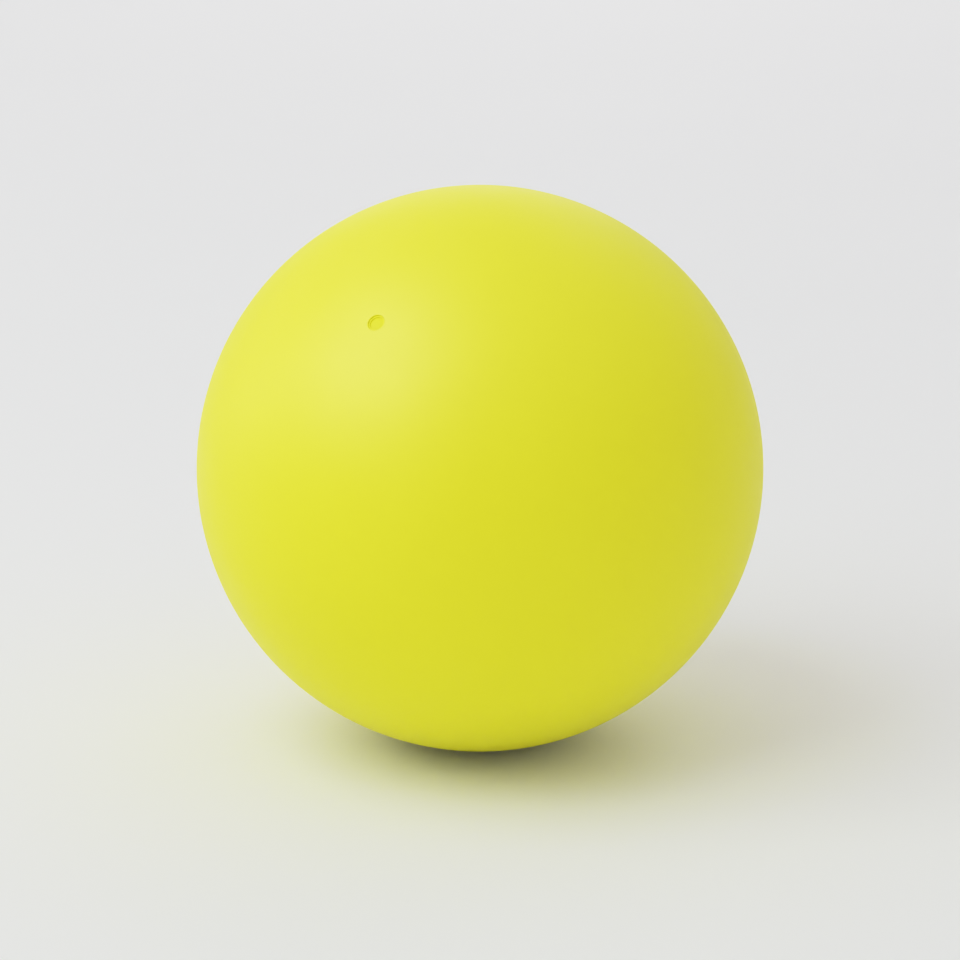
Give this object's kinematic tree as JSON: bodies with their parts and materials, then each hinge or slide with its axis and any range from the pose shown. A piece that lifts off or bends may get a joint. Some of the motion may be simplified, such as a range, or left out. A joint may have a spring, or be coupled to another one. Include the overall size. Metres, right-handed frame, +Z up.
{
  "type": "medicine ball",
  "caption": "Seamless round rubber medicine ball with a heavy layered wall round an air bladder, and a recessed self-sealing needle valve.",
  "frame": {"origin": "the point where the ball rests, under its centre", "axes": "+Z up through the ball's centre, -Y towards the side that the valve leans to, +X to the right seen from that side"},
  "size_m": [0.2199, 0.22, 0.22],
  "materials": {
    "cover_rubber": "satin",
    "weight_rubber": "matte",
    "wound_nylon": "matte",
    "patch_cloth": "matte",
    "bladder_butyl": "satin",
    "valve_rubber": "satin"
  },
  "bodies": {
    "ball": {"cover": "cover_rubber", "weight_shell_valve_side": "weight_rubber", "weight_shell_far_side": "weight_rubber", "thread_winding": "wound_nylon", "valve_patch": "patch_cloth", "bladder": "bladder_butyl", "valve_housing": "valve_rubber"},
    "insert": {"valve_insert": "valve_rubber"}
  },
  "joints": [
    {"name": "insert_slide", "type": "slide", "parent": "ball", "child": "insert", "axis": [0, -0.7254, 0.6884], "range_m": [0, 0.03]}
  ]
}
